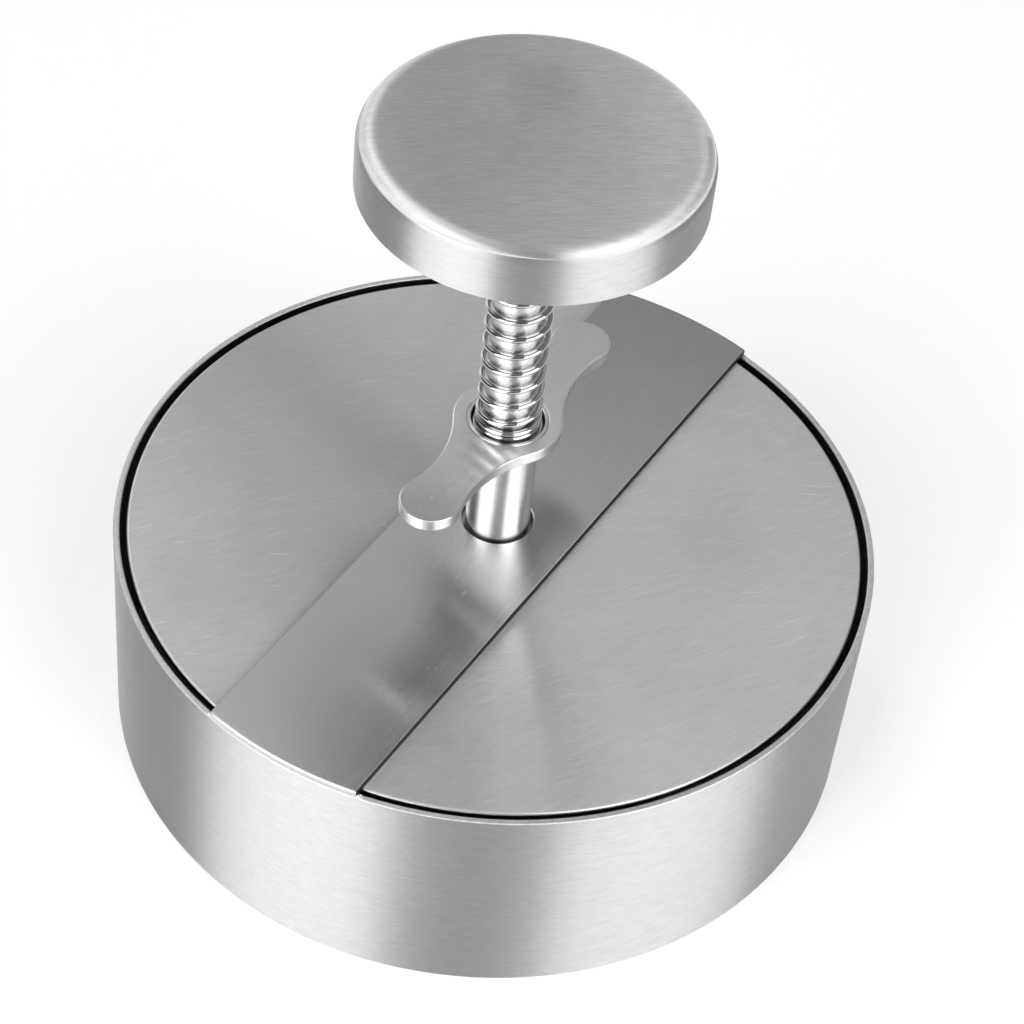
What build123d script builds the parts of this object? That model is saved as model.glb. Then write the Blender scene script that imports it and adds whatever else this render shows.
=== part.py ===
from build123d import *
import os
from math import ceil, cos, dist, pi, radians, sin, sqrt, tau

# A hand press for round patties. An open steel ring stands on the table, a flat bar crosses its top, and a
# plunger slides through the bar: a disc below, a palm knob above. A winged stop on the plunger meets the bar
# and sets how thin the patty gets. A spring under the knob keeps the stop from turning by itself.
# Millimetres. The origin is the centre of the ring's lower edge, +Z is up, and the bar and wing lie along X.

# Ring, the mould's wall
ring_diameter = 120.0
ring_wall = 1.0
ring_height = 38.0
ring_edge_round = 0.25

# Cross bar, which lies on the ring's rim and guides the plunger
bar_width = 25.8
bar_thickness = 1.2
bar_corner_round = 0.4
bar_edge_round = 0.2
guide_gap = 0.5

# Press plate
plate_side_gap = 1.05
plate_top_gap = 0.3
plate_thickness = 1.5
plate_edge_round = 0.4

# Spindle, the plunger's rod, riveted through the plate
rod_diameter = 8.0
rod_end_chamfer = 0.8
spigot_diameter = 6.0
rivet_head_diameter = 7.6
rivet_head_height = 0.8

# Depth stop: a threaded sleeve with a dished head, and the wing that turns it
stop_height = 19.8
stop_thread_length = 10.0
sleeve_wall = 1.05
sleeve_relief = 0.3
sleeve_plate_gap = 0.3
sleeve_end_chamfer = 0.3
seat_depth = 1.3
seat_gap = 0.55
head_wall = 0.55
wing_thickness = 2.0
wing_span = 52.5
wing_land = 2.2
wing_tip_radius = 4.6
wing_neck_radius = 19.6
wing_edge_round = 0.2

# Spring and the washer at its foot
wire_diameter = 0.9
spring_length = 45.2
spring_start_angle = -35.0
spring_rod_gap = 0.2
spring_end_gap = 0.1
closed_turns = 1
active_turns = 12.5
closed_gap = 0.45
ease_turns = 0.5
washer_thickness = 0.4
washer_edge_gap = 0.3

# Knob: a drawn cap, the disc that closes it and the threaded boss inside
knob_diameter = 50.6
knob_height = 9.3
knob_wall = 1.0
knob_edge_radius = 2.8
knob_lip_round = 0.3
base_thickness = 1.0
base_recess = 0.3
boss_diameter = 14.0
boss_stand = 0.6
boss_floor = 2.0
boss_chamfer = 0.5

# Clearances shared by several fits
thread_gap = 0.05
joined_gap = 0.02
turning_gap = 0.05

# Radii that follow
ring_radius = ring_diameter / 2
rod_radius = rod_diameter / 2
wire_radius = wire_diameter / 2
coil_radius = rod_radius + spring_rod_gap + wire_radius
sleeve_bore = rod_radius + thread_gap
sleeve_radius = sleeve_bore + sleeve_wall
seat_radius = coil_radius + wire_radius + seat_gap
head_radius = seat_radius + head_wall
knob_radius = knob_diameter / 2
boss_radius = boss_diameter / 2

# Levels that follow, from the plate up to the knob
plate_top = ring_height - plate_top_gap
plate_bottom = plate_top - plate_thickness
bar_top = ring_height + bar_thickness
wing_bottom = bar_top + stop_height
wing_top = wing_bottom + wing_thickness
seat_floor = wing_top - seat_depth
washer_bottom = seat_floor + turning_gap
washer_top = washer_bottom + washer_thickness
spring_foot = washer_top + spring_end_gap
spring_head = spring_foot + spring_length
boss_bottom = spring_head + spring_end_gap
base_bottom = boss_bottom + boss_stand
knob_bottom = base_bottom - base_recess
knob_top = knob_bottom + knob_height
boss_top = knob_top - knob_wall
rod_end = boss_top - boss_floor


def turned(profile):
    """A turned piece: its half section, drawn as radius and height, spun about Z."""
    return revolve(Plane.XZ * profile, Axis.Z)


def annulus(inner_radius, outer_radius, bottom, top):
    """The half section of a plain ring."""
    width = outer_radius - inner_radius
    height = top - bottom
    return Pos(inner_radius + width / 2, bottom + height / 2) * Rectangle(width, height)


def make_ring():
    band = annulus(ring_radius - ring_wall, ring_radius, 0, ring_height)
    return turned(fillet(band.vertices(), ring_edge_round))


def make_cross_bar():
    strip = Rectangle(ring_diameter, bar_width) & Circle(ring_radius)
    strip = fillet(strip.vertices(), bar_corner_round)
    strip -= Circle(sleeve_radius + guide_gap)
    bar = extrude(Pos(0, 0, ring_height) * strip, bar_thickness)
    outline = bar.faces().sort_by(Axis.Z)[-1].outer_wire()
    return fillet(outline.edges(), bar_edge_round)


def spigot_section(clearance):
    """The rod's spigot and its riveted head, as the plate's hole or as the rod's foot."""
    shank = annulus(0, spigot_diameter / 2 + clearance, plate_bottom, plate_top)
    cone = make_face(Polyline(
        (0, plate_bottom),
        (rivet_head_diameter / 2 + clearance, plate_bottom),
        (spigot_diameter / 2 + clearance, plate_bottom + rivet_head_height),
        (0, plate_bottom + rivet_head_height),
        close=True,
    ))
    return shank + cone


def make_press_plate():
    radius = ring_radius - ring_wall - plate_side_gap
    disc = annulus(0, radius, plate_bottom, plate_top)
    disc = fillet(disc.vertices().group_by(Axis.X)[-1], plate_edge_round)
    return turned(disc) - turned(spigot_section(joined_gap))


def make_spindle():
    rod = annulus(0, rod_radius, plate_top, rod_end)
    tip = rod.vertices().group_by(Axis.X)[-1].sort_by(Axis.Y)[-1]
    rod = chamfer(tip, rod_end_chamfer)
    return turned(rod) + turned(spigot_section(0))


def make_sleeve():
    foot = plate_top + sleeve_plate_gap
    tube = annulus(sleeve_bore, sleeve_radius, foot, wing_bottom)
    tube = chamfer(tube.vertices().group_by(Axis.Y)[0].sort_by(Axis.X)[-1], sleeve_end_chamfer)
    head = annulus(sleeve_bore, head_radius, wing_bottom, wing_top)
    seat = annulus(0, seat_radius, seat_floor, wing_top)
    relief = annulus(0, rod_radius + sleeve_relief, foot + stop_thread_length, wing_top)
    return turned(tube + head - seat - relief)


def wing_outline():
    """A round body, two round tips on X, and four concave necks that are tangent to both."""
    body_radius = head_radius + wing_land
    tip_x = wing_span / 2 - wing_tip_radius
    to_body = body_radius + wing_neck_radius
    to_tip = wing_tip_radius + wing_neck_radius
    neck_x = (to_body**2 - to_tip**2 + tip_x**2) / (2 * tip_x)
    neck_y = sqrt(to_body**2 - neck_x**2)
    neck = Vector(neck_x, neck_y)
    tip = Vector(tip_x, 0)
    tip_contact = tip + (neck - tip).normalized() * wing_tip_radius
    body_contact = neck.normalized() * body_radius
    inward = ((tip_contact + body_contact) / 2 - neck).normalized()
    neck_middle = neck + inward * wing_neck_radius
    tip_arc = ThreePointArc(tip_contact, Vector(wing_span / 2, 0), Vector(tip_contact.X, -tip_contact.Y))
    neck_arc = ThreePointArc(tip_contact, neck_middle, body_contact)
    body_arc = ThreePointArc(body_contact, Vector(0, body_radius), Vector(-body_contact.X, body_contact.Y))
    half = [tip_arc, neck_arc, mirror(neck_arc, Plane.XZ), body_arc]
    edges = half + [Rot(0, 0, 180) * curve for curve in half]
    return make_face(edges)


def make_wing():
    plate = extrude(Pos(0, 0, wing_bottom) * wing_outline(), wing_thickness)
    rims = plate.faces().sort_by(Axis.Z)
    plate = fillet(rims[0].edges() + rims[-1].edges(), wing_edge_round)
    return plate - Pos(0, 0, wing_bottom) * extrude(Circle(head_radius + joined_gap), wing_thickness)


def make_spring_washer():
    return turned(annulus(rod_radius + spring_rod_gap, seat_radius - washer_edge_gap, washer_bottom, washer_top))


# Spring: the height of its centre line is a formula of the turns made so far
closed_pitch = wire_diameter + closed_gap
total_turns = 2 * closed_turns + active_turns
centre_rise = spring_length - wire_diameter
open_turns = active_turns - ease_turns
active_pitch = (centre_rise - (total_turns - open_turns) * closed_pitch) / open_turns


def spring_slope(turn):
    """Rise per turn: closed at both ends, open between, changing steadily over the easing part."""
    into = (turn - closed_turns) / ease_turns
    out_of = (total_turns - closed_turns - turn) / ease_turns
    openness = max(0.0, min(1.0, into, out_of))
    return closed_pitch + (active_pitch - closed_pitch) * openness


def spring_rise(turn):
    """The slope added up from the foot to this turn."""
    def ramp(distance):
        inside = max(0.0, min(distance, ease_turns))
        return inside**2 / (2 * ease_turns) + max(0.0, distance - ease_turns)
    opened = ramp(turn - closed_turns) - ramp(turn - (total_turns - closed_turns - ease_turns))
    return closed_pitch * turn + (active_pitch - closed_pitch) * opened


def spring_angle(turn):
    return radians(spring_start_angle) + tau * turn


def spring_point(turn):
    angle = spring_angle(turn)
    return Vector(
        coil_radius * cos(angle),
        coil_radius * sin(angle),
        spring_foot + wire_radius + spring_rise(turn),
    )


def spring_tangent(turn):
    angle = spring_angle(turn)
    speed = tau * coil_radius
    return Vector(-speed * sin(angle), speed * cos(angle), spring_slope(turn)).normalized()


def biarc(start, start_tangent, end, end_tangent):
    """Two arcs that leave the start and reach the end along the given directions."""
    chord = end - start
    both = start_tangent + end_tangent
    a = 2 * (start_tangent.dot(end_tangent) - 1)
    b = -2 * chord.dot(both)
    reach = (-b - sqrt(b * b - 4 * a * chord.dot(chord))) / (2 * a)
    if reach < 0:
        reach = (-b + sqrt(b * b - 4 * a * chord.dot(chord))) / (2 * a)
    first = start + start_tangent * reach
    second = end - end_tangent * reach
    joint = (first + second) / 2
    return [
        TangentArc(start, joint, tangent=start_tangent),
        TangentArc(joint, end, tangent=(second - first).normalized()),
    ]


def least_spring_gap(steps_per_turn=24):
    """The least distance between turns of the wire, surface to surface, measured on points."""
    count = ceil(total_turns * steps_per_turn)
    points = [tuple(spring_point(total_turns * i / count)) for i in range(count + 1)]
    apart = steps_per_turn // 2
    nearest = min(
        dist(points[i], points[j])
        for i in range(len(points))
        for j in range(i + apart, min(i + 2 * steps_per_turn, len(points)))
    )
    return nearest - wire_diameter


def make_spring():
    quarters = round(4 * total_turns)
    arcs = []
    for quarter in range(quarters):
        here = total_turns * quarter / quarters
        there = total_turns * (quarter + 1) / quarters
        arcs += biarc(spring_point(here), spring_tangent(here), spring_point(there), spring_tangent(there))
    first = spring_point(0)
    last = spring_point(total_turns)
    lead_in = Line(first - spring_tangent(0) * wire_diameter, first)
    lead_out = Line(last, last + spring_tangent(total_turns) * wire_diameter)
    path = Wire([lead_in] + arcs + [lead_out])
    section = Plane(lead_in @ 0, z_dir=lead_in % 0) * Circle(wire_radius)
    return sweep(section, path)


def make_knob_cap():
    outer = annulus(0, knob_radius, knob_bottom, knob_top)
    outer = fillet(outer.vertices().group_by(Axis.X)[-1].sort_by(Axis.Y)[-1], knob_edge_radius)
    inner = annulus(0, knob_radius - knob_wall, knob_bottom, boss_top)
    inner = fillet(inner.vertices().group_by(Axis.X)[-1].sort_by(Axis.Y)[-1], knob_edge_radius - knob_wall)
    shell = outer - inner
    lip = shell.vertices().group_by(Axis.Y)[0]
    return turned(fillet(lip, knob_lip_round))


def make_knob_base():
    outer = knob_radius - knob_wall - joined_gap
    return turned(annulus(boss_radius + joined_gap, outer, base_bottom, base_bottom + base_thickness))


def make_knob_boss():
    body = annulus(0, boss_radius, boss_bottom, boss_top)
    body = chamfer(body.vertices().group_by(Axis.X)[-1].sort_by(Axis.Y)[0], boss_chamfer)
    bore = annulus(0, rod_radius + joined_gap, boss_bottom, rod_end + joined_gap)
    return turned(body - bore)


makers = {
    "ring": make_ring,
    "cross_bar": make_cross_bar,
    "press_plate": make_press_plate,
    "spindle": make_spindle,
    "sleeve": make_sleeve,
    "wing": make_wing,
    "spring_washer": make_spring_washer,
    "spring": make_spring,
    "knob_cap": make_knob_cap,
    "knob_base": make_knob_base,
    "knob_boss": make_knob_boss,
}

os.makedirs("parts", exist_ok=True)
for name, make in makers.items():
    export_step(make(), f"parts/{name}.step")

wire_length = 2 * wire_diameter + total_turns * sqrt((tau * coil_radius)**2 + (centre_rise / total_turns)**2)
print(f"spring: least gap to itself {least_spring_gap():.3f} mm, active pitch {active_pitch:.3f} mm")
print(f"spring: wire volume about {pi * wire_radius**2 * wire_length:.1f} mm3")
print(f"overall height {knob_top:.2f} mm, thickest patty {plate_bottom - stop_height:.2f} mm")
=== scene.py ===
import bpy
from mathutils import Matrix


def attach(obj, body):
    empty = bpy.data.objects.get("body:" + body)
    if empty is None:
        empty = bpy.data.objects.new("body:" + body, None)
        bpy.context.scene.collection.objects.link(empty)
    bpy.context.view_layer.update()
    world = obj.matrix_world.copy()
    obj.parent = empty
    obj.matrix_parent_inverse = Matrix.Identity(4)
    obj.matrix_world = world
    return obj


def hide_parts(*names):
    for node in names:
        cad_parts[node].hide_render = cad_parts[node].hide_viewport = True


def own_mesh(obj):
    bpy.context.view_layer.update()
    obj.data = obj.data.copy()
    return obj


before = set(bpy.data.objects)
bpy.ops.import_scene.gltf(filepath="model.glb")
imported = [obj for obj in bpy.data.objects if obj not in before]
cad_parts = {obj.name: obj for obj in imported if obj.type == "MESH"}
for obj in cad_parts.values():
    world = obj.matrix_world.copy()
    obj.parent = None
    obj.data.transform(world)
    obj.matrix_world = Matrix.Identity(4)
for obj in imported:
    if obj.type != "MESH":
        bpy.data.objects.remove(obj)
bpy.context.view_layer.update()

from math import atan2, ceil, cos, hypot, pi, radians, sin, sqrt, tan, tau

import bmesh
import bpy
from mathutils import Matrix, Vector

# A burger press in brushed and polished stainless steel. Every piece but the weld beads stands for one solid
# of the frame. Sizes are in millimetres, and finish_mesh scales them. The bar and the wing lie along X.

MM = 0.001
JOINED_GAP = 0.02

# Ring and cross bar
RING_OUT, RING_IN, RING_TOP, RING_ROUND = 60.0, 59.0, 38.0, 0.25
BAR_HALF, BAR_TOP, BAR_CORNER, BAR_ROUND, BAR_HOLE = 12.9, 39.2, 0.4, 0.3, 5.6
WELD_R, WELD_Y, WELD_SIZE = RING_OUT - 0.5, BAR_HALF + 0.25, (0.75, 0.4, 0.35)

# Plunger: plate, rod and knob
PLATE_R, PLATE_LOW, PLATE_HIGH, PLATE_ROUND = 57.95, 36.2, 37.7, 0.4
ROD_R, ROD_END, ROD_CHAMFER = 4.0, 112.15, 0.8
SPIGOT_R, RIVET_R, RIVET_H, RIVET_GAP, RIVET_CHAMFER = 3.0, 3.8, 0.8, 0.06, 0.05
THREAD_LOW, THREAD_HIGH, THREAD_PITCH, THREAD_DEPTH = 38.1, 58.0, 1.25, 0.62
KNOB_R, KNOB_LOW, KNOB_HIGH, KNOB_EDGE, KNOB_WALL, KNOB_LIP = 25.3, 105.85, 115.15, 2.8, 1.0, 0.3
KNOB_CROWN_REACH, KNOB_CROWN, KNOB_SOFT_REACH, KNOB_BEND = 12.0, radians(2.5), 2.4, 2.2
BASE_LOW, BASE_HIGH = 106.15, 107.15
BOSS_R, BOSS_LOW, BOSS_CHAMFER = 7.0, 105.55, 0.5

# Depth stop: sleeve and wing
SLEEVE_IN, SLEEVE_OUT, SLEEVE_LOW, SLEEVE_CHAMFER = 4.05, 5.1, 38.0, 0.3
WING_LOW, WING_HIGH, WING_ROUND = 59.0, 61.0, 0.2
HEAD_R, SEAT_R, SEAT_LOW, RELIEF_R, THREAD_TOP = 6.2, 5.65, 59.7, 4.3, 48.0
WING_BODY_R, WING_TIP_R, WING_NECK_R, WING_SPAN = 8.4, 4.6, 19.6, 52.5

# Spring and washer. The end turns are nearly closed, and the pitch opens over the ease turns
WIRE_R, WIRE_BEVEL, COIL_R, SPRING_FOOT, SPRING_HEAD = 0.45, 0.08, 4.65, 60.25, 105.45
CLOSED_PITCH, ACTIVE_PITCH, ACTIVE_TURNS, EASE_TURNS, START_ANGLE = 0.93, 3.41, 12.5, 0.5, -35.0
WASHER_IN, WASHER_OUT, WASHER_LOW, WASHER_HIGH = 4.2, 5.35, 59.75, 60.15


# Mesh helpers

def finish_mesh(name, bm, sharp_angle=40.0):
    """Make an object of a mesh in millimetres: smooth faces, with sharp edges where it turns a corner."""
    bmesh.ops.remove_doubles(bm, verts=bm.verts, dist=1e-5)
    bmesh.ops.recalc_face_normals(bm, faces=bm.faces)
    bmesh.ops.scale(bm, vec=(MM, MM, MM), verts=bm.verts)
    limit = radians(sharp_angle)
    for face in bm.faces:
        face.smooth = True
    for edge in bm.edges:
        edge.smooth = len(edge.link_faces) != 2 or edge.calc_face_angle(0) < limit
    mesh = bpy.data.meshes.new(name)
    bm.to_mesh(mesh)
    bm.free()
    piece = bpy.data.objects.new(name, mesh)
    bpy.context.scene.collection.objects.link(piece)
    return piece


def rounded(corners, closed=True, steps=7, support=0.04):
    """A polygon with its corners rounded. Each corner is (x, y, radius). A point just outside each arc keeps
    the flats beside it flat in smooth shading."""
    path = []
    count = len(corners)
    for i, (x, y, radius) in enumerate(corners):
        here = Vector((x, y))
        if radius == 0 or (not closed and i in (0, count - 1)):
            path.append((x, y))
            continue
        before = (Vector(corners[i - 1][:2]) - here).normalized()
        after = (Vector(corners[(i + 1) % count][:2]) - here).normalized()
        half = before.angle(after) / 2
        reach = radius / tan(half)
        centre = here + (before + after).normalized() * (radius / sin(half))
        first = here + before * reach - centre
        last = here + after * reach - centre
        sweep = first.angle_signed(last)
        path.append(tuple(here + before * (reach + support)))
        for step in range(steps + 1):
            turn = Matrix.Rotation(-sweep * step / steps, 2)
            path.append(tuple(centre + turn @ first))
        path.append(tuple(here + after * (reach + support)))
    return path


def lathe(name, profile, segments=240, closed=True):
    """Spin a profile of (radius, height) points about Z. Points on the axis become one vertex."""
    bm = bmesh.new()
    rings = []
    for r, z in profile:
        if r < 1e-6:
            rings.append([bm.verts.new((0, 0, z))])
        else:
            rings.append([
                bm.verts.new((r * cos(tau * i / segments), r * sin(tau * i / segments), z))
                for i in range(segments)
            ])
    pairs = list(zip(rings, rings[1:] + rings[:1])) if closed else list(zip(rings, rings[1:]))
    for low, high in pairs:
        for i in range(segments):
            j = (i + 1) % segments
            loop = [low[i % len(low)], low[j % len(low)], high[j % len(high)], high[i % len(high)]]
            loop = list(dict.fromkeys(loop))
            if len(loop) > 2:
                bm.faces.new(loop)
    return finish_mesh(name, bm)


def slab(name, loops, low, high, edge_round, steps=6, support=0.04):
    """A flat plate between two levels. The first loop is its outline, the others are holes. Every loop is a
    list of (x, y, normal x, normal y), the normal pointing out of the material, and its edges are rounded."""
    quarter = [
        (edge_round * (1 - sin(pi / 2 * i / steps)), edge_round * (1 - cos(pi / 2 * i / steps)))
        for i in range(steps + 1)
    ]
    edge = [(edge_round + support, 0)] + quarter
    profile = [(inset, low + rise) for inset, rise in edge]
    profile += [(0, low + edge_round + support), (0, high - edge_round - support)]
    profile += [(inset, high - rise) for inset, rise in reversed(edge)]
    bm = bmesh.new()
    flats = {low: [], high: []}
    for loop in loops:
        rings = [
            [bm.verts.new((x - nx * inset, y - ny * inset, z)) for x, y, nx, ny in loop]
            for inset, z in profile
        ]
        count = len(loop)
        for ring, above in zip(rings, rings[1:]):
            for i in range(count):
                j = (i + 1) % count
                bm.faces.new([ring[i], ring[j], above[j], above[i]])
        for level, ring in ((low, rings[0]), (high, rings[-1])):
            flats[level] += [bm.edges.get((ring[i], ring[(i + 1) % count])) for i in range(count)]
    for edges in flats.values():
        bmesh.ops.triangle_fill(bm, use_beauty=True, edges=edges)
    return finish_mesh(name, bm)


def arc_points(x, y, radius, start, end, steps, inward=False):
    """Points and normals along an arc given in degrees. The normal points away from the centre, or to it."""
    points = []
    for i in range(steps + 1):
        angle = radians(start + (end - start) * i / steps)
        side = -1 if inward else 1
        across, up = cos(angle), sin(angle)
        points.append((x + radius * across, y + radius * up, side * across, side * up))
    return points


def circle_hole(radius, steps=160):
    """A round hole's loop, with its normals pointing into the hole."""
    return arc_points(0, 0, radius, 0, 360, steps, inward=True)[:-1]


def without_repeats(loop):
    """The loop without the points that arcs share where they meet."""
    kept = []
    for point in loop:
        if not kept or hypot(point[0] - kept[-1][0], point[1] - kept[-1][1]) > 1e-4:
            kept.append(point)
    if hypot(kept[0][0] - kept[-1][0], kept[0][1] - kept[-1][1]) < 1e-4:
        kept.pop()
    return kept


def tube(name, points, tangents, radius, bevel, sides=20):
    """A round wire along a line, with flat bevelled ends, and its length and turn as UVs."""
    frames = []
    for point, tangent in zip(points, tangents):
        outward = Vector((point.x, point.y, 0)).normalized()
        up = tangent.cross(outward).normalized()
        frames.append((point, up.cross(tangent).normalized(), up))
    sections = [(0, radius - bevel)] + [(i, radius) for i in range(len(frames))]
    sections.append((len(frames) - 1, radius - bevel))
    ends = {0: -bevel, len(sections) - 1: bevel}
    bm = bmesh.new()
    layer = bm.loops.layers.uv.new("UVMap")
    rings = []
    lengths = []
    travelled = 0.0
    previous = None
    for k, (i, r) in enumerate(sections):
        point, out, up = frames[i]
        centre = point + tangents[i] * ends.get(k, 0)
        if previous is not None:
            travelled += (centre - previous).length
        previous = centre
        lengths.append(travelled)
        rings.append([
            bm.verts.new(centre + (out * cos(tau * s / sides) + up * sin(tau * s / sides)) * r)
            for s in range(sides)
        ])
    for k in range(len(rings) - 1):
        for s in range(sides):
            t = (s + 1) % sides
            face = bm.faces.new([rings[k][s], rings[k][t], rings[k + 1][t], rings[k + 1][s]])
            corners = ((k, s), (k, s + 1), (k + 1, s + 1), (k + 1, s))
            for loop, (row, column) in zip(face.loops, corners):
                loop[layer].uv = (lengths[row], column / sides)
    bm.faces.new(list(reversed(rings[0])))
    bm.faces.new(rings[-1])
    return finish_mesh(name, bm, 50)


# Steel

class Graph:
    """The nodes of a material or a world, with short calls to add and link them."""

    def __init__(self, owner):
        self.owner = owner
        owner.use_nodes = True
        self.tree = owner.node_tree
        self.tree.nodes.clear()

    def add(self, kind, inputs=None, **settings):
        node = self.tree.nodes.new(kind)
        for key, value in settings.items():
            setattr(node, key, value)
        for key, value in (inputs or {}).items():
            if hasattr(value, "is_output"):
                self.tree.links.new(value, node.inputs[key])
            else:
                node.inputs[key].default_value = value
        return node

    def math(self, operation, a, b=0.0, clamp=False):
        return self.add("ShaderNodeMath", {0: a, 1: b}, operation=operation, use_clamp=clamp).outputs[0]

    def spread(self, value, low, high, to_low, to_high):
        inputs = {"Value": value, "From Min": low, "From Max": high, "To Min": to_low, "To Max": to_high}
        return self.add("ShaderNodeMapRange", inputs).outputs[0]

    def vary(self, noise, low, high):
        """A noise's usual range, spread over the range from low to high."""
        return self.spread(noise, 0.3, 0.7, low, high)

    def noise(self, vector, scale, detail=3.0, rough=0.6):
        inputs = {"Vector": vector, "Scale": scale, "Detail": detail, "Roughness": rough}
        return self.add("ShaderNodeTexNoise", inputs).outputs[0]

    def blend(self, factor, a, b, kind="FLOAT"):
        node = self.add("ShaderNodeMix", data_type=kind)
        sockets = [i for i in node.inputs if i.enabled]
        for socket, value in zip(sockets, (factor, a, b)):
            self.tree.links.new(value, socket)
        return next(o for o in node.outputs if o.enabled)

    def stretched(self, vector, scale, turn=0.0, shift=(0, 0, 0)):
        """A place turned about Z and then scaled, so that a grain can run at any angle."""
        inputs = {"Vector": vector, "Angle": radians(-turn)}
        spun = self.add("ShaderNodeVectorRotate", inputs, rotation_type="Z_AXIS").outputs[0]
        return self.add("ShaderNodeMapping", {"Vector": spun, "Scale": scale, "Location": shift}).outputs[0]


# The share of broader lines in a grain and their scale, the sheet's slow unevenness, and three directions of
# scratches, each a turn from the brush lines and a seed
BROAD_SHARE, BROAD_SCALE = 0.2, 0.35
CLOUD = 0.02
MARKS = ((4, 3.1), (-3, 5.3), (-24, 7.7))
MARK_SCALE, MARK_GAIN = (90.0, 4600.0, 400.0), 0.35
BUMP_DEPTH = 0.00002


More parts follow.
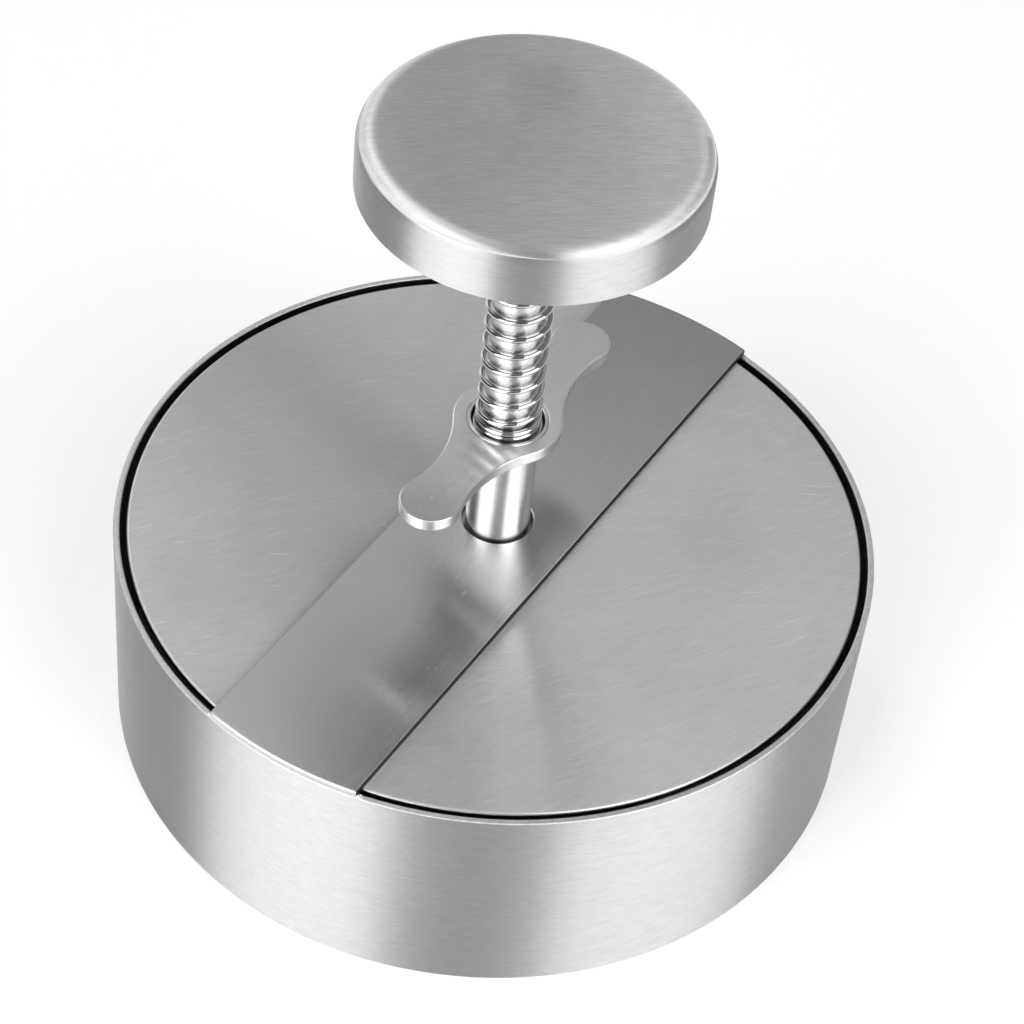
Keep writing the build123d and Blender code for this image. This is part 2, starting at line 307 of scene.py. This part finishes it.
def steel(name, shade, roughness, grain, turn=0.0, spread="across", anisotropic=0.0, contrast=0.08,
          bump=0.3, scratches=0.5, radial=False, uv=False, top_turn=None, top_levels=None,
          top_roughness=None, top_painted_lift=1.0, painted_highlight_band=None, painted_shade_spots=()):
    """Stainless steel. The grain is a noise drawn out along the brush direction: its scales per metre are
    along the object's axes after the turn about Z, or along radius, angle and height for a radial grain.
    Reflections spread across the brush lines: in the plane, or up and down a round wall. With a top turn,
    the faces above the top levels are brushed straight at that turn, and those below them round the axis.
    The band is a painted highlight: the tone made lighter about a level, given as its level, reach and gain.
    A spot is painted shade: a darker patch, given as its x, y, z, reach and loss."""
    g = Graph(bpy.data.materials.new(name))
    coords = g.add("ShaderNodeTexCoord")
    place = coords.outputs["Object"]
    axes = g.add("ShaderNodeSeparateXYZ", {0: place}).outputs
    flat = g.add("ShaderNodeVectorMath", {0: place, 1: (1, 1, 0)}, operation="MULTIPLY").outputs[0]
    if radial:
        radius = g.add("ShaderNodeVectorMath", {0: flat}, operation="LENGTH").outputs["Value"]
        angle = g.math("ARCTAN2", axes[1], axes[0])
        line_place = g.add("ShaderNodeCombineXYZ", {0: radius, 1: angle, 2: axes[2]}).outputs[0]
    elif uv:
        line_place = coords.outputs["UV"]
    else:
        line_place = place

    def brushed(vector, scale, angle):
        fine = g.noise(g.stretched(vector, scale, angle), 1.0, 2.0, 0.6)
        broad = g.noise(g.stretched(vector, [s * BROAD_SCALE for s in scale], angle), 1.0, 2.0, 0.5)
        broad = g.math("MULTIPLY", broad, BROAD_SHARE)
        return g.math("ADD", g.math("MULTIPLY", fine, 1 - BROAD_SHARE), broad)

    lines = brushed(line_place, grain, turn)
    if spread == "meridian":
        outward = g.add("ShaderNodeVectorMath", {0: flat}, operation="NORMALIZE").outputs[0]
        across = g.add("ShaderNodeVectorMath", {0: outward, 1: (0, 0, 1)}, operation="ADD").outputs[0]
    elif spread == "vertical":
        across = g.add("ShaderNodeCombineXYZ", {2: 1.0}).outputs[0]
    else:
        way = {0: -sin(radians(turn)), 1: cos(radians(turn)), 2: 0.0}
        across = g.add("ShaderNodeCombineXYZ", way).outputs[0]
    if top_turn is not None:
        # The top's direction takes the sign of the side that it lies on, so that it joins the wall's
        on_top = g.spread(axes[2], top_levels[0] * MM, top_levels[1] * MM, 0.0, 1.0)
        top_lines = brushed(place, (grain[0], grain[2], grain[0]), top_turn)
        lines = g.blend(on_top, lines, top_lines)
        top_way = (-sin(radians(top_turn)), cos(radians(top_turn)), 0.0)
        side = g.add("ShaderNodeVectorMath", {0: flat, 1: top_way}, operation="DOT_PRODUCT")
        sign = g.math("SIGN", side.outputs["Value"])
        top_across = g.add("ShaderNodeVectorMath", {0: top_way, "Scale": sign}, operation="SCALE").outputs[0]
        across = g.blend(on_top, across, top_across, "VECTOR")

    # Slow unevenness of the sheet, and sparse scratches in three directions, broken up by a coarser noise
    uneven = g.noise(place, 26.0, 3.0, 0.55)
    marks = 0.0
    for mark_turn, seed in MARKS:
        offset = g.stretched(place, MARK_SCALE, turn + mark_turn, (seed, seed * 0.7, 0))
        streak = g.spread(g.noise(offset, 1.0, 1.0, 0.5), 0.7, 0.75, 0.0, 1.0)
        here = g.spread(g.noise(place, 60.0 + seed, 2.0, 0.5), 0.52, 0.6, 0.0, 1.0)
        marks = g.math("MAXIMUM", g.math("MULTIPLY", streak, here), marks)

    tone = g.vary(lines, 1 - contrast, 1 + contrast)
    tone = g.math("MULTIPLY", tone, g.vary(uneven, 1 - CLOUD, 1 + CLOUD))
    # Painted highlight: the faces on top are made lighter than those round the sides
    if top_turn is not None:
        tone = g.math("MULTIPLY", tone, g.spread(on_top, 0.0, 1.0, 1.0, top_painted_lift))
    tone = g.math("ADD", tone, g.math("MULTIPLY", marks, MARK_GAIN * scratches))
    # Painted highlight: the tone made lighter in a band about a level
    if painted_highlight_band is not None:
        band_level, band_reach, band_gain = painted_highlight_band
        above = g.math("SUBTRACT", axes[2], band_level * MM)
        band_lift = g.spread(g.math("ABSOLUTE", above), 0.0, band_reach * MM, 1 + band_gain, 1.0)
        tone = g.math("MULTIPLY", tone, band_lift)
    # Painted shade: darker patches with ragged edges
    for x, y, z, reach, loss in painted_shade_spots:
        middle = (x * MM, y * MM, z * MM)
        away = g.add("ShaderNodeVectorMath", {0: place, 1: middle}, operation="DISTANCE").outputs["Value"]
        ragged = g.math("ADD", away, g.vary(uneven, -0.3 * reach * MM, 0.3 * reach * MM))
        fade = g.add("ShaderNodeMapRange", {
            "Value": ragged, "From Min": 0.1 * reach * MM, "From Max": reach * MM,
            "To Min": 1 - loss, "To Max": 1.0,
        }, interpolation_type="SMOOTHSTEP").outputs[0]
        tone = g.math("MULTIPLY", tone, fade)
    tint = g.add("ShaderNodeCombineColor", {
        0: g.math("MULTIPLY", tone, shade), 1: g.math("MULTIPLY", tone, shade * 0.999),
        2: g.math("MULTIPLY", tone, shade * 0.996),
    }, mode="RGB").outputs[0]
    rough = g.vary(lines, roughness * 0.9, roughness * 1.1)
    if top_turn is not None:
        rough = g.blend(on_top, rough, g.vary(lines, top_roughness * 0.9, top_roughness * 1.1))
    rough = g.math("ADD", rough, g.spread(uneven, 0.35, 0.65, -0.01, 0.01))

    relief = g.add("ShaderNodeBump", {"Strength": bump, "Distance": BUMP_DEPTH, "Height": lines})
    shader = g.add("ShaderNodeBsdfPrincipled", {
        "Base Color": tint, "Roughness": rough, "Metallic": 1.0, "Anisotropic": anisotropic,
        "Normal": relief.outputs[0],
    })
    if anisotropic:
        along = g.add("ShaderNodeVectorTransform", {0: across}, vector_type="VECTOR",
                      convert_from="OBJECT", convert_to="WORLD").outputs[0]
        g.tree.links.new(along, shader.inputs["Tangent"])
    g.add("ShaderNodeOutputMaterial", {"Surface": shader.outputs[0]})
    return g.owner


def coat(piece, material, belongs):
    """Give another material to the faces that belong to it, judged by their centre, in millimetres, and
    their normal."""
    piece.data.materials.append(material)
    index = len(piece.data.materials) - 1
    for face in piece.data.polygons:
        if belongs(face.center / MM, face.normal):
            face.material_index = index


def dress(piece, material, body, slot, *nodes):
    """Give a piece its material and its body, and hide the solids that it stands for. The slot is not used.
    """
    piece.data.materials.append(material)
    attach(piece, body)
    if nodes:
        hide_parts(*nodes)


# Brush directions, degrees from X about Z
PLATE_BRUSH = -32.0
KNOB_BRUSH = -52.0
WING_BRUSH = 0.0

ring_steel = steel("ring_brushed", 0.56, 0.54, (420, 420, 4600), spread="meridian", anisotropic=1.0,
                   contrast=0.12, bump=0.35, scratches=0.0)
# Darker than the outer wall: painted shade for the deep gap between plate and ring. The inner wall is also
# less rough and not brushed round
ring_inner_painted_shade = steel("ring_inside_painted_shade", 0.3, 0.25, (300, 300, 3000), contrast=0.1, bump=0.2, scratches=0.2)
edge_steel = steel("cut_edge", 0.64, 0.5, (1500, 1500, 1500), contrast=0.14, bump=0.5, scratches=0.0)
# Near black for the bar's sheared sides and hole wall: painted shade for the gap under the bar and in the
# hole
sheared_painted_shade = steel("sheared_edge_painted_shade", 0.05, 0.45, (300, 300, 3000), contrast=0.25, bump=0.5, scratches=0.0)
bar_steel = steel("bar_satin", 0.6, 0.25, (160, 4200, 400), turn=0.0, anisotropic=0.9, contrast=0.035,
                  bump=0.006, scratches=0.0)
# The plate's two darker spots are painted shade
plate_steel = steel("plate_brushed", 0.68, 0.33, (260, 6200, 400), turn=PLATE_BRUSH, anisotropic=0.97,
                    contrast=0.09, bump=0.1, scratches=1.0,
                    painted_shade_spots=((18, -30, 37.7, 16, 0.06), (-34, 30, 37.7, 14, 0.05)))
tube_steel = steel("tube_polished", 0.85, 0.19, (120, 120, 4200), spread="meridian", anisotropic=1.0,
                   contrast=0.015, bump=0.0, scratches=0.0)
# Near black for the sleeve's seat: painted shade in the recess round the spring's foot
seat_painted_shade = steel("sleeve_seat_painted_shade", 0.12, 0.4, (300, 300, 3000), contrast=0.2, bump=0.2, scratches=0.0)
rod_steel = steel("rod_polished", 0.84, 0.2, (120, 120, 4200), spread="meridian", anisotropic=1.0,
                  contrast=0.02, bump=0.0, scratches=0.0)
wing_steel = steel("wing_satin", 0.88, 0.25, (200, 3600, 500), turn=WING_BRUSH, anisotropic=1.0,
                   contrast=0.03, bump=0.02, scratches=0.0)
# Darker underside: painted shade under the wing
wing_under_painted_shade = steel("wing_underside_painted_shade", 0.25, 0.35, (200, 3600, 500), turn=WING_BRUSH, anisotropic=0.5,
                         contrast=0.1, bump=0.1, scratches=0.3)
polished_edge_steel = steel("polished_edge", 0.8, 0.25, (200, 200, 2500), spread="vertical", anisotropic=0.9,
                            contrast=0.05, bump=0.05, scratches=0.0)
wire_steel = steel("wire_drawn", 0.55, 0.08, (0.1, 9.0, 1.0), uv=True, contrast=0.05, bump=0.05,
                   scratches=0.0)
# Dark turned steel for the knob's base and boss: painted shade under the knob
turned_steel = steel("turned", 0.22, 0.3, (3500, 3, 3500), radial=True, spread="meridian",
                     anisotropic=0.6, contrast=0.1, bump=0.2, scratches=0.2)
# The knob's top is painted lighter, its shoulder gets a painted highlight band, and two darker spots on its
# top are painted shade
knob_steel = steel("knob_satin", 0.58, 0.52, (320, 320, 4200), spread="meridian", anisotropic=1.0,
                   contrast=0.12, bump=0.35, scratches=0.0, top_turn=KNOB_BRUSH, top_levels=(113.5, 114.8),
                   top_roughness=0.33, top_painted_lift=1.24, painted_highlight_band=(113.9, 1.1, 0.14),
                   painted_shade_spots=((10, 5, 115.15, 9, 0.12), (0, 0, 115.15, 17, 0.06)))


# Ring and bar

ring = lathe("ring_band", rounded([
    (RING_IN, 0, RING_ROUND), (RING_OUT, 0, RING_ROUND),
    (RING_OUT, RING_TOP, RING_ROUND), (RING_IN, RING_TOP, RING_ROUND),
]), segments=360)
dress(ring, ring_steel, "frame", "ring_steel", "ring")
# The inner wall gets the darker painted shade
coat(ring, ring_inner_painted_shade, lambda at, n: hypot(at.x, at.y) < RING_IN + 0.02 and abs(n.z) < 0.3)
coat(ring, edge_steel, lambda at, n: abs(n.z) > 0.5)


def bar_outline():
    """Straight sides, ends on the ring's outer circle, and small rounded corners between them."""
    side = BAR_HALF - BAR_CORNER
    reach = RING_OUT - BAR_CORNER
    corner_x = sqrt(reach**2 - side**2)
    touch = atan2(side, corner_x) * 180 / pi
    loop = []
    for middle in (0, 180):
        end = cos(radians(middle))
        loop += arc_points(0, 0, RING_OUT, middle - touch, middle + touch, 40)
        loop += arc_points(end * corner_x, end * side, BAR_CORNER, middle + touch, middle + 90, 8)
        loop += arc_points(-end * corner_x, end * side, BAR_CORNER, middle + 90, middle + 180 - touch, 8)
    return without_repeats(loop)


bar = slab("bar_strip", [bar_outline(), circle_hole(BAR_HOLE)], RING_TOP, BAR_TOP, BAR_ROUND)
dress(bar, bar_steel, "frame", "bar_steel", "cross_bar")


def long_side(at, n):
    """Whether a face of the bar lies on one of its two long sides."""
    return abs(n.y) > 0.9 * hypot(n.x, n.y) and hypot(at.x, at.y) > 2 * BAR_HOLE


def hole_side(at, n):
    """Whether a face of the bar lies at its hole."""
    return hypot(at.x, at.y) < 2 * BAR_HOLE


coat(bar, polished_edge_steel, lambda at, n: (
    at.z > BAR_TOP - BAR_ROUND and 0.35 < n.z < 0.99 and not hole_side(at, n) and not long_side(at, n)
))
# The long sides and the hole wall get the near-black painted shade
coat(bar, sheared_painted_shade, lambda at, n: (
    (long_side(at, n) and -0.36 < n.z < 0.8) or (hole_side(at, n) and abs(n.z) < 0.36)
))


def weld_bead(name, x, y, z, turn, length, width, height):
    """A small tack weld: a lump drawn out along the rim, uneven as a real one."""
    bm = bmesh.new()
    bmesh.ops.create_icosphere(bm, subdivisions=4, radius=1.0)
    for vert in bm.verts:
        wave = 1 + 0.12 * sin(5 * vert.co.x + 2 * vert.co.z + turn) * cos(4 * vert.co.y + x)
        vert.co = Vector((vert.co.x * length, vert.co.y * width, vert.co.z * height)) * wave
    bmesh.ops.rotate(bm, verts=bm.verts, matrix=Matrix.Rotation(turn, 3, "Z"))
    bmesh.ops.translate(bm, verts=bm.verts, vec=(x, y, z))
    dress(finish_mesh(name, bm), edge_steel, "frame", "ring_steel")


for number, (end, side) in enumerate(((-1, 1), (-1, -1), (1, 1), (1, -1)), 1):
    weld_y = side * WELD_Y
    weld_x = end * sqrt(WELD_R**2 - weld_y**2)
    weld_bead(f"weld_{number}", weld_x, weld_y, RING_TOP, atan2(weld_y, weld_x) + pi / 2, *WELD_SIZE)


# Plunger

plate = lathe("plate_disc", rounded([
    (SPIGOT_R + JOINED_GAP, PLATE_HIGH, 0), (PLATE_R, PLATE_HIGH, PLATE_ROUND),
    (PLATE_R, PLATE_LOW, PLATE_ROUND), (RIVET_R + RIVET_GAP, PLATE_LOW, RIVET_GAP),
    (SPIGOT_R + JOINED_GAP, PLATE_LOW + RIVET_H, 0),
]), segments=360)
dress(plate, plate_steel, "plunger", "plate_steel", "press_plate")


def thread_radius(angle, z):
    """The rod's radius on its threaded length, fading out at both ends."""
    fade = max(0.0, min(1.0, (z - THREAD_LOW) / THREAD_PITCH, (THREAD_HIGH - z) / (2 * THREAD_PITCH)))
    phase = (z / THREAD_PITCH - angle / tau) % 1.0
    groove = max(0.0, min(1.0, (1 - abs(2 * phase - 1) - 0.12) / 0.7))
    return ROD_R - THREAD_DEPTH * fade * groove


def make_spindle(segments=96, row_height=0.11):
    """The rod from its rivet to its chamfered end. A level without a radius lies on the thread."""
    levels = [(0, PLATE_LOW), (RIVET_R - RIVET_CHAMFER, PLATE_LOW), (RIVET_R, PLATE_LOW + RIVET_CHAMFER)]
    levels += [(SPIGOT_R, PLATE_LOW + RIVET_H), (SPIGOT_R, PLATE_HIGH)]
    levels += [(ROD_R, PLATE_HIGH), (ROD_R, THREAD_LOW)]
    rows = ceil((THREAD_HIGH - THREAD_LOW) / row_height)
    levels += [(None, THREAD_LOW + (THREAD_HIGH - THREAD_LOW) * i / rows) for i in range(1, rows)]
    levels += [(ROD_R, THREAD_HIGH), (ROD_R, ROD_END - ROD_CHAMFER), (ROD_R - ROD_CHAMFER, ROD_END)]
    levels += [(0, ROD_END)]
    bm = bmesh.new()
    rings = []
    for r, z in levels:
        if r == 0:
            rings.append([bm.verts.new((0, 0, z))] * segments)
            continue
        ring_verts = []
        for i in range(segments):
            angle = tau * i / segments
            radius = thread_radius(angle, z) if r is None else r
            ring_verts.append(bm.verts.new((radius * cos(angle), radius * sin(angle), z)))
        rings.append(ring_verts)
    for low, high in zip(rings, rings[1:]):
        for i in range(segments):
            j = (i + 1) % segments
            loop = list(dict.fromkeys([low[i], low[j], high[j], high[i]]))
            bm.faces.new(loop)
    return finish_mesh("spindle_rod", bm, 35)


dress(make_spindle(), rod_steel, "plunger", "polished_steel", "spindle")


def knob_shoulder():
    """The knob's top from its middle to the skirt. The slope grows slowly over the crown, then faster and
    faster over the soft part of the edge, and then at one bend down to the skirt."""
    growth = (1 / KNOB_BEND) / (2 * KNOB_SOFT_REACH)
    soft_end = KNOB_CROWN + growth * KNOB_SOFT_REACH**2
    bend_reach = (pi / 2 - soft_end) * KNOB_BEND
    total = KNOB_CROWN_REACH + KNOB_SOFT_REACH + bend_reach

    def slope(s):
        if s < KNOB_CROWN_REACH:
            return KNOB_CROWN * s / KNOB_CROWN_REACH
        s -= KNOB_CROWN_REACH
        if s < KNOB_SOFT_REACH:
            return KNOB_CROWN + growth * s**2
        return soft_end + (s - KNOB_SOFT_REACH) / KNOB_BEND

    # Summed in small steps, of which the flat part keeps few and the bend many
    steps = 560
    r = z = 0.0
    line = [(0.0, 0.0)]
    for i in range(steps):
        angle = slope(total * (i + 0.5) / steps)
        r += cos(angle) * total / steps
        z -= sin(angle) * total / steps
        line.append((r, z))
    kept = line[:320:40] + line[320:480:10] + line[480::4]
    return [(0, KNOB_HIGH)] + [(KNOB_R - r + x, KNOB_HIGH + y) for x, y in kept]


knob_inside = rounded([
    (KNOB_R, KNOB_HIGH - 4.0, 0), (KNOB_R, KNOB_LOW, KNOB_LIP), (KNOB_R - KNOB_WALL, KNOB_LOW, KNOB_LIP),
    (KNOB_R - KNOB_WALL, KNOB_HIGH - KNOB_WALL, KNOB_EDGE - KNOB_WALL), (0, KNOB_HIGH - KNOB_WALL, 0),
], closed=False, steps=10)
knob = lathe("knob_shell", knob_shoulder() + knob_inside, segments=300, closed=False)
dress(knob, knob_steel, "plunger", "knob_steel", "knob_cap")

# The base and boss take the dark turned steel, painted shade under the knob
base = lathe("knob_base_disc", rounded([
    (BOSS_R + JOINED_GAP, BASE_LOW, 0.1), (KNOB_R - KNOB_WALL - JOINED_GAP, BASE_LOW, 0.12),
    (KNOB_R - KNOB_WALL - JOINED_GAP, BASE_HIGH, 0), (BOSS_R + JOINED_GAP, BASE_HIGH, 0),
]), segments=240)
dress(base, turned_steel, "plunger", "turned_steel", "knob_base")

boss = lathe("knob_boss_bush", rounded([
    (ROD_R + JOINED_GAP, BOSS_LOW, 0.15), (BOSS_R - BOSS_CHAMFER, BOSS_LOW, 0.05),
    (BOSS_R, BOSS_LOW + BOSS_CHAMFER, 0.05), (BOSS_R, KNOB_HIGH - KNOB_WALL, 0),
    (0, KNOB_HIGH - KNOB_WALL, 0), (0, ROD_END + JOINED_GAP, 0),
    (ROD_R + JOINED_GAP, ROD_END + JOINED_GAP, 0),
]), segments=160)
dress(boss, turned_steel, "plunger", "turned_steel", "knob_boss")


# Depth stop

sleeve = lathe("stop_sleeve", rounded([
    (SLEEVE_IN, SLEEVE_LOW, 0.1), (SLEEVE_OUT - SLEEVE_CHAMFER, SLEEVE_LOW, 0.08),
    (SLEEVE_OUT, SLEEVE_LOW + SLEEVE_CHAMFER, 0.08),
    (SLEEVE_OUT, WING_LOW, 0), (HEAD_R, WING_LOW, 0), (HEAD_R, WING_HIGH, 0.12), (SEAT_R, WING_HIGH, 0.12),
    (SEAT_R, SEAT_LOW, 0.2), (RELIEF_R, SEAT_LOW, 0.1), (RELIEF_R, THREAD_TOP, 0), (SLEEVE_IN, THREAD_TOP, 0),
]), segments=200)
dress(sleeve, tube_steel, "depth_stop", "sleeve_steel", "sleeve")
# The seat's floor and inner wall get the painted shade
coat(sleeve, seat_painted_shade, lambda at, n: (
    hypot(at.x, at.y) < SEAT_R + 0.02 and SEAT_LOW - 0.1 < at.z < WING_HIGH - 0.1
))


def wing_outline():
    """A round body, two round tips on X, and four concave necks that are tangent to both."""
    tip_x = WING_SPAN / 2 - WING_TIP_R
    to_body = WING_BODY_R + WING_NECK_R
    to_tip = WING_TIP_R + WING_NECK_R
    neck_x = (to_body**2 - to_tip**2 + tip_x**2) / (2 * tip_x)
    neck_y = sqrt(to_body**2 - neck_x**2)
    at_tip = atan2(neck_y, neck_x - tip_x) * 180 / pi
    at_body = atan2(neck_y, neck_x) * 180 / pi
    loop = []
    loop += arc_points(tip_x, 0, WING_TIP_R, -at_tip, at_tip, 48)
    loop += arc_points(neck_x, neck_y, WING_NECK_R, at_tip - 180, at_body - 180, 30, inward=True)
    loop += arc_points(0, 0, WING_BODY_R, at_body, 180 - at_body, 24)
    loop += arc_points(-neck_x, neck_y, WING_NECK_R, -at_body, -at_tip, 30, inward=True)
    loop += arc_points(-tip_x, 0, WING_TIP_R, 180 - at_tip, 180 + at_tip, 48)
    loop += arc_points(-neck_x, -neck_y, WING_NECK_R, at_tip, at_body, 30, inward=True)
    loop += arc_points(0, 0, WING_BODY_R, 180 + at_body, 360 - at_body, 24)
    loop += arc_points(neck_x, -neck_y, WING_NECK_R, 180 - at_body, 180 - at_tip, 30, inward=True)
    return without_repeats(loop)


wing = slab("stop_wing", [wing_outline(), circle_hole(HEAD_R + JOINED_GAP)], WING_LOW, WING_HIGH, WING_ROUND)
dress(wing, wing_steel, "depth_stop", "wing_steel", "wing")
coat(wing, polished_edge_steel, lambda at, n: abs(n.z) < 0.7)
# The wing's underside gets the darker painted shade
coat(wing, wing_under_painted_shade, lambda at, n: n.z < -0.7)


# Spring and washer

washer = lathe("spring_washer_ring", rounded([
    (WASHER_IN, WASHER_LOW, 0.08), (WASHER_OUT, WASHER_LOW, 0.08), (WASHER_OUT, WASHER_HIGH, 0.1),
    (WASHER_IN, WASHER_HIGH, 0.08),
]), segments=160)
dress(washer, rod_steel, "spring_seat", "turned_steel", "spring_washer")

rise = SPRING_HEAD - SPRING_FOOT - 2 * WIRE_R
closed_rise = (rise - ACTIVE_PITCH * (ACTIVE_TURNS - EASE_TURNS) - EASE_TURNS * CLOSED_PITCH) / 2
closed_turns = closed_rise / CLOSED_PITCH
spring_turns = ACTIVE_TURNS + 2 * closed_turns
first_angle = START_ANGLE - 360 * (closed_turns - 1)


def spring_height(turn):
    """The wire's height after so many turns: closed at both ends, and open between them."""
    def ramp(distance):
        inside = max(0.0, min(distance, EASE_TURNS))
        return inside**2 / (2 * EASE_TURNS) + max(0.0, distance - EASE_TURNS)
    opened = ramp(turn - closed_turns) - ramp(turn - (spring_turns - closed_turns - EASE_TURNS))
    return SPRING_FOOT + WIRE_R + CLOSED_PITCH * turn + (ACTIVE_PITCH - CLOSED_PITCH) * opened


def make_spring(steps_per_turn=72):
    """The spring, wound from its foot up."""
    steps = ceil(spring_turns * steps_per_turn)
    points = []
    for i in range(steps + 1):
        turn = spring_turns * i / steps
        angle = radians(first_angle) + tau * turn
        points.append(Vector((COIL_R * cos(angle), COIL_R * sin(angle), spring_height(turn))))
    tangents = []
    for i in range(steps + 1):
        ahead = points[min(i + 1, steps)]
        behind = points[max(i - 1, 0)]
        tangents.append((ahead - behind).normalized())
    return tube("stop_spring", points, tangents, WIRE_R, WIRE_BEVEL)


spring = make_spring()
dress(spring, wire_steel, "spring_seat", "spring_steel", "spring")
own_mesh(spring)


# Camera, at the photograph's angle

LENS, SENSOR = 97.72, 36.0
CAMERA_AZIMUTH, CAMERA_HEIGHT, CAMERA_ROLL, CAMERA_DISTANCE = 62.634, 45.424, -6.446, 0.465818
CAMERA_SIDE, CAMERA_LIFT = 0.005405, 0.02818

azimuth = radians(CAMERA_AZIMUTH)
height = radians(CAMERA_HEIGHT)
roll = radians(CAMERA_ROLL)
ground_right = Vector((cos(azimuth), -sin(azimuth), 0))
ground_front = Vector((-sin(azimuth), -cos(azimuth), 0))
back = ground_front * cos(height) + Vector((0, 0, sin(height)))
level_up = back.cross(ground_right)
image_x = ground_right * cos(roll) - level_up * sin(roll)
image_y = ground_right * sin(roll) + level_up * cos(roll)
camera = bpy.data.objects.new("camera", bpy.data.cameras.new("camera"))
camera.data.lens = LENS
camera.data.sensor_width = SENSOR
camera.data.clip_start = 0.01
camera.matrix_world = (
    Matrix.Translation(image_x * CAMERA_SIDE + image_y * CAMERA_LIFT + back * CAMERA_DISTANCE)
    @ Matrix((image_x, image_y, back)).transposed().to_4x4()
)
bpy.context.scene.collection.objects.link(camera)
bpy.context.scene.camera = camera


# Light: two soft boxes, left and right of the camera, in a plain pale room

def from_camera(turn, lift):
    """The direction at a turn to the right of the camera and a lift above the floor, both in degrees."""
    a = radians(turn)
    e = radians(lift)
    flat = ground_front * cos(a) + ground_right * sin(a)
    return flat * cos(e) + Vector((0, 0, sin(e)))


BOX_LOW, BOX_HIGH, BOX_DISTANCE = 0.03, 1.5, 0.7


def soft_box(name, turn, half_angle, radiance, low=BOX_LOW, high=BOX_HIGH, distance=BOX_DISTANCE):
    """An upright soft box, given by its middle and half width as seen from the object, in degrees."""
    width = 2 * distance * tan(radians(half_angle))
    light = bpy.data.lights.new(name, "AREA")
    light.shape = "RECTANGLE"
    light.size = width
    light.size_y = high - low
    light.energy = radiance * pi * width * (high - low)
    lamp = bpy.data.objects.new(name, light)
    away = from_camera(turn, 0)
    lamp.location = away * distance + Vector((0, 0, (low + high) / 2))
    lamp.rotation_euler = (-away).to_track_quat("-Z", "Y").to_euler()
    lamp.visible_camera = False
    bpy.context.scene.collection.objects.link(lamp)


soft_box("box_left", -43, 25, 3.2)
soft_box("box_right", 51, 27, 2.7)

def fill_ramp(ramp, ends, stops):
    """Give a colour ramp its grey levels: those of its two ends, and the stops between them by position."""
    points = ramp.color_ramp.elements
    for position, _ in stops:
        points.new(position)
    levels = sorted([(0.0, ends[0]), (1.0, ends[1])] + stops)
    for point, (position, grey) in zip(points, levels):
        point.position = position
        point.color = (grey, grey, grey, 1)


# Grey levels round the room, by turn to the right of the camera in degrees, and from straight down to up
ROOM_BEHIND = 0.42
ROOM_SIDES = [
    (140, 0.45), (122, 0.6), (100, 0.3), (60, 0.25), (12, 0.3), (0, 0.28), (-60, 0.25), (-85, 0.1),
    (-115, 0.02), (-126, 0.7), (-142, 2.2), (-156, 1.0), (-172, 0.44),
]
ROOM_DOWN, ROOM_UP = 0.8, 0.9
ROOM_LEVELS = [(0.3, 0.8), (0.5, 0.4), (0.6, 0.45), (0.68, 0.85), (0.78, 1.8), (0.88, 1.4)]

world = bpy.data.worlds.new("room")
bpy.context.scene.world = world
room = Graph(world)
facing = (0, 0, -atan2(ground_front.y, ground_front.x))
direction = room.add("ShaderNodeTexCoord").outputs["Generated"]
turned = room.add("ShaderNodeMapping", {"Vector": direction, "Rotation": facing}).outputs[0]
parts = room.add("ShaderNodeSeparateXYZ", {0: turned}).outputs
share = room.spread(room.math("ARCTAN2", parts[1], parts[0]), -pi, pi, 0.0, 1.0)
side_ramp = room.add("ShaderNodeValToRGB", {0: share})
up_ramp = room.add("ShaderNodeValToRGB", {0: parts[2]})
fill_ramp(side_ramp, (ROOM_BEHIND, ROOM_BEHIND), [(0.5 + turn / 360, grey) for turn, grey in ROOM_SIDES])
fill_ramp(up_ramp, (ROOM_DOWN, ROOM_UP), ROOM_LEVELS)
product = room.add("ShaderNodeMix", data_type="RGBA", blend_type="MULTIPLY")
product.inputs["Factor"].default_value = 1.0
room.tree.links.new(side_ramp.outputs[0], product.inputs[6])
room.tree.links.new(up_ramp.outputs[0], product.inputs[7])
shine = room.add("ShaderNodeBackground", {0: product.outputs[2]})
room.add("ShaderNodeOutputWorld", {0: shine.outputs[0]})


# Floor. The glow outside the ring is only seen, and lights nothing

FLOOR_REACH, FLOOR_GLOW = 6.0, 0.24

floor_mesh = bpy.data.meshes.new("floor")
floor_corners = [(x * FLOOR_REACH, y * FLOOR_REACH, 0) for x, y in ((-1, -1), (1, -1), (1, 1), (-1, 1))]
floor_mesh.from_pydata(floor_corners, [], [(0, 1, 2, 3)])
floor = bpy.data.objects.new("floor", floor_mesh)
bpy.context.scene.collection.objects.link(floor)
fg = Graph(bpy.data.materials.new("floor_white"))
path_kind = fg.add("ShaderNodeLightPath")
seen = fg.math("MAXIMUM", path_kind.outputs["Is Camera Ray"], path_kind.outputs["Is Glossy Ray"])
seen = fg.math("MAXIMUM", seen, path_kind.outputs["Is Transmission Ray"])
floor_place = fg.add("ShaderNodeTexCoord").outputs["Object"]
shade = fg.vary(fg.noise(floor_place, 400.0, 3.0), 0.79, 0.82)
matt = fg.add("ShaderNodeBsdfDiffuse", {
    "Color": fg.add("ShaderNodeCombineColor", {0: shade, 1: shade, 2: shade}, mode="RGB").outputs[0],
})
from_middle = fg.add("ShaderNodeVectorMath", {0: floor_place}, operation="LENGTH").outputs["Value"]
outside = fg.math("GREATER_THAN", from_middle, RING_OUT * MM)
glow = fg.math("MULTIPLY", fg.math("MULTIPLY", seen, outside), FLOOR_GLOW)
lift = fg.add("ShaderNodeEmission", {"Color": (1, 1, 1, 1), "Strength": glow})
both = fg.add("ShaderNodeAddShader", {0: matt.outputs[0], 1: lift.outputs[0]})
fg.add("ShaderNodeOutputMaterial", {"Surface": both.outputs[0]})
floor_mesh.materials.append(fg.owner)

bpy.context.scene.view_settings.view_transform = "Standard"
